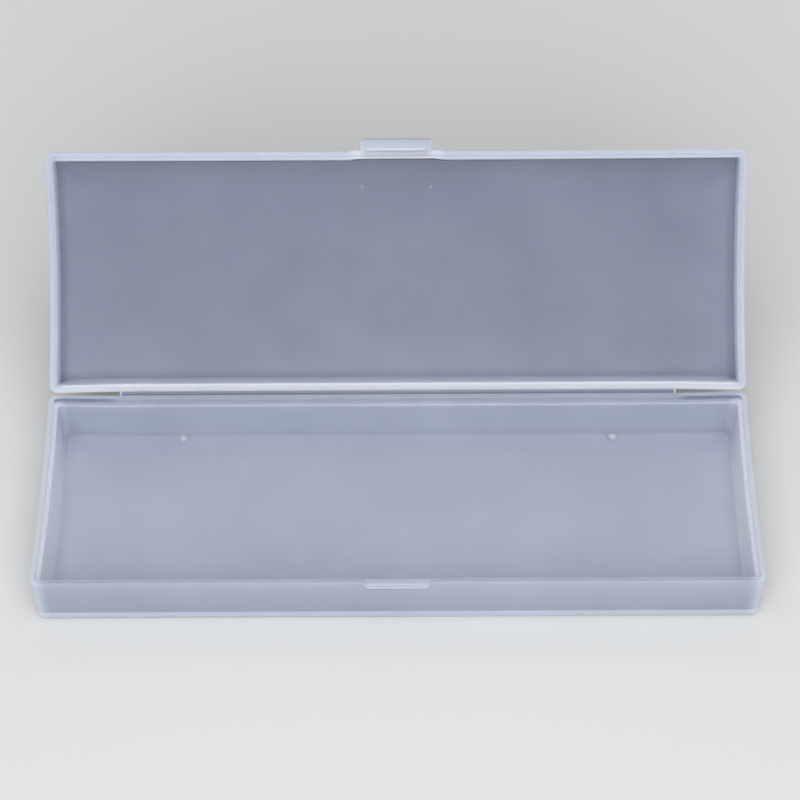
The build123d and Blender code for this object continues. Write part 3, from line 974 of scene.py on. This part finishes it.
class PENCIL_OT_stage(bpy.types.Operator):
    """Pale floor, soft lamps and the camera"""

    bl_idname = "pencil_case.stage"
    bl_label = "Stage"

    def execute(self, context):
        scene, stage = context.scene, context.scene.case_stage
        floor_colour = (*stage.floor_colour, 1)
        # Half the floor's side, and its level just under the foot
        half, level = 4.0, -0.05 * MM
        corners = [(-half, -half, level), (half, -half, level), (half, half, level), (-half, half, level)]
        mesh = bpy.data.meshes.new("floor")
        mesh.from_pydata(corners, [], [(0, 1, 2, 3)])
        floor = bpy.data.objects.new("floor", mesh)
        scene.collection.objects.link(floor)
        # Uncoated paper, which has no sheen
        paper = bpy.data.materials.new("matt background paper")
        paper.use_nodes = True
        tree = paper.node_tree
        shader = tree.nodes["Principled BSDF"]
        shader.inputs["Base Color"].default_value = floor_colour
        shader.inputs["Roughness"].default_value = 0.9
        shader.inputs["Specular IOR Level"].default_value = 0.1
        # Seen from the camera the paper fades to its own plain colour away from the case
        place = add_node(tree, "ShaderNodeTexCoord").outputs["Object"]
        away = add_node(tree, "ShaderNodeVectorMath", {"operation": "LENGTH"}, {0: place})
        fade = add_node(
            tree, "ShaderNodeMapRange",
            {"From Min": stage.fade_start, "From Max": stage.fade_end},
            {"Value": away.outputs["Value"]},
        )
        by_camera = add_node(tree, "ShaderNodeLightPath").outputs["Is Camera Ray"]
        faded = add_node(
            tree, "ShaderNodeMath", {"operation": "MULTIPLY"}, {0: fade.outputs[0], 1: by_camera}
        )
        plain = add_node(tree, "ShaderNodeEmission", {"Color": floor_colour})
        mixed = add_node(
            tree, "ShaderNodeMixShader",
            links={0: faded.outputs[0], 1: shader.outputs[0], 2: plain.outputs[0]},
        )
        tree.links.new(mixed.outputs[0], tree.nodes["Material Output"].inputs["Surface"])
        mesh.materials.append(paper)

        world = bpy.data.worlds.new("studio")
        world.use_nodes = True
        scene.world = world
        sky = world.node_tree
        sky.nodes.clear()
        by_camera = add_node(sky, "ShaderNodeLightPath").outputs["Is Camera Ray"]
        soft = add_node(
            sky, "ShaderNodeBackground", {"Color": (0.92, 0.95, 1, 1), "Strength": stage.ambient}
        )
        backdrop = add_node(sky, "ShaderNodeBackground", {"Color": floor_colour, "Strength": 1.0})
        mixed = add_node(
            sky, "ShaderNodeMixShader", links={0: by_camera, 1: soft.outputs[0], 2: backdrop.outputs[0]}
        )
        add_node(sky, "ShaderNodeOutputWorld", links={"Surface": mixed.outputs[0]})

        for name, place, aim_height, breadth, power in (
            ("overhead lamp", (0, -0.25, 0.85), 0, (1.0, 0.8), stage.overhead_power),
            ("back lamp", (0, 0.75, 0.85), 0, (1.2, 0.35), stage.back_power),
            ("front lamp", (0, -0.8, 0.48), 0.02, (1.0, 0.6), stage.front_power),
        ):
            lamp = bpy.data.lights.new(name, "AREA")
            lamp.shape, lamp.size, lamp.size_y, lamp.energy = "RECTANGLE", *breadth, power
            holder = bpy.data.objects.new(name, lamp)
            towards = (Vector((0, 0, aim_height)) - Vector(place)).to_track_quat("-Z", "Y")
            holder.matrix_world = Matrix.Translation(place) @ towards.to_matrix().to_4x4()
            scene.collection.objects.link(holder)

        elevation, roll = stage.elevation, stage.roll
        right = Vector((1, 0, 0))
        up = Vector((0, math.sin(elevation), math.cos(elevation)))
        ahead = Vector((0, math.cos(elevation), -math.sin(elevation)))
        eye = -stage.offset_x * right - stage.offset_y * up - stage.distance * ahead
        eye.z += stage.aim_height
        tilted_right = math.cos(roll) * right - math.sin(roll) * up
        tilted_up = math.sin(roll) * right + math.cos(roll) * up
        axes = Matrix((tilted_right, tilted_up, -ahead)).transposed().to_4x4()
        camera_data = bpy.data.cameras.new("camera")
        camera_data.sensor_width = 36
        camera_data.lens = stage.focal_length
        camera = bpy.data.objects.new("camera", camera_data)
        camera.matrix_world = Matrix.Rotation(-stage.yaw, 4, "Z") @ Matrix.Translation(eye) @ axes
        scene.collection.objects.link(camera)
        scene.camera = camera
        scene.view_settings.view_transform = "Standard"
        return {"FINISHED"}


OPERATORS = (
    PENCIL_OT_base,
    PENCIL_OT_lid,
    PENCIL_OT_gates,
    PENCIL_OT_hinge,
    PENCIL_OT_latch,
    PENCIL_OT_witness,
    PENCIL_OT_stage,
)


class PENCIL_PT_panel(bpy.types.Panel):
    """Lists the case's pieces and the stage"""

    bl_label = "Pencil case"
    bl_space_type = "VIEW_3D"
    bl_region_type = "UI"
    bl_category = "Pencil case"

    def draw(self, context):
        for operator in OPERATORS:
            self.layout.operator(operator.bl_idname)


CLASSES = (CaseSizes, FinishSettings, StageSettings, *OPERATORS, PENCIL_PT_panel)


def register():
    for item in CLASSES:
        bpy.utils.register_class(item)
    bpy.types.Scene.case_sizes = PointerProperty(type=CaseSizes)
    bpy.types.Scene.case_finish = PointerProperty(type=FinishSettings)
    bpy.types.Scene.case_stage = PointerProperty(type=StageSettings)


def unregister():
    del bpy.types.Scene.case_sizes, bpy.types.Scene.case_finish, bpy.types.Scene.case_stage
    for item in reversed(CLASSES):
        bpy.utils.unregister_class(item)


def main():
    register()
    for name in ("base", "lid", "gates", "hinge", "latch", "witness", "stage"):
        getattr(bpy.ops.pencil_case, name)()


if __name__ == "__main__":
    main()
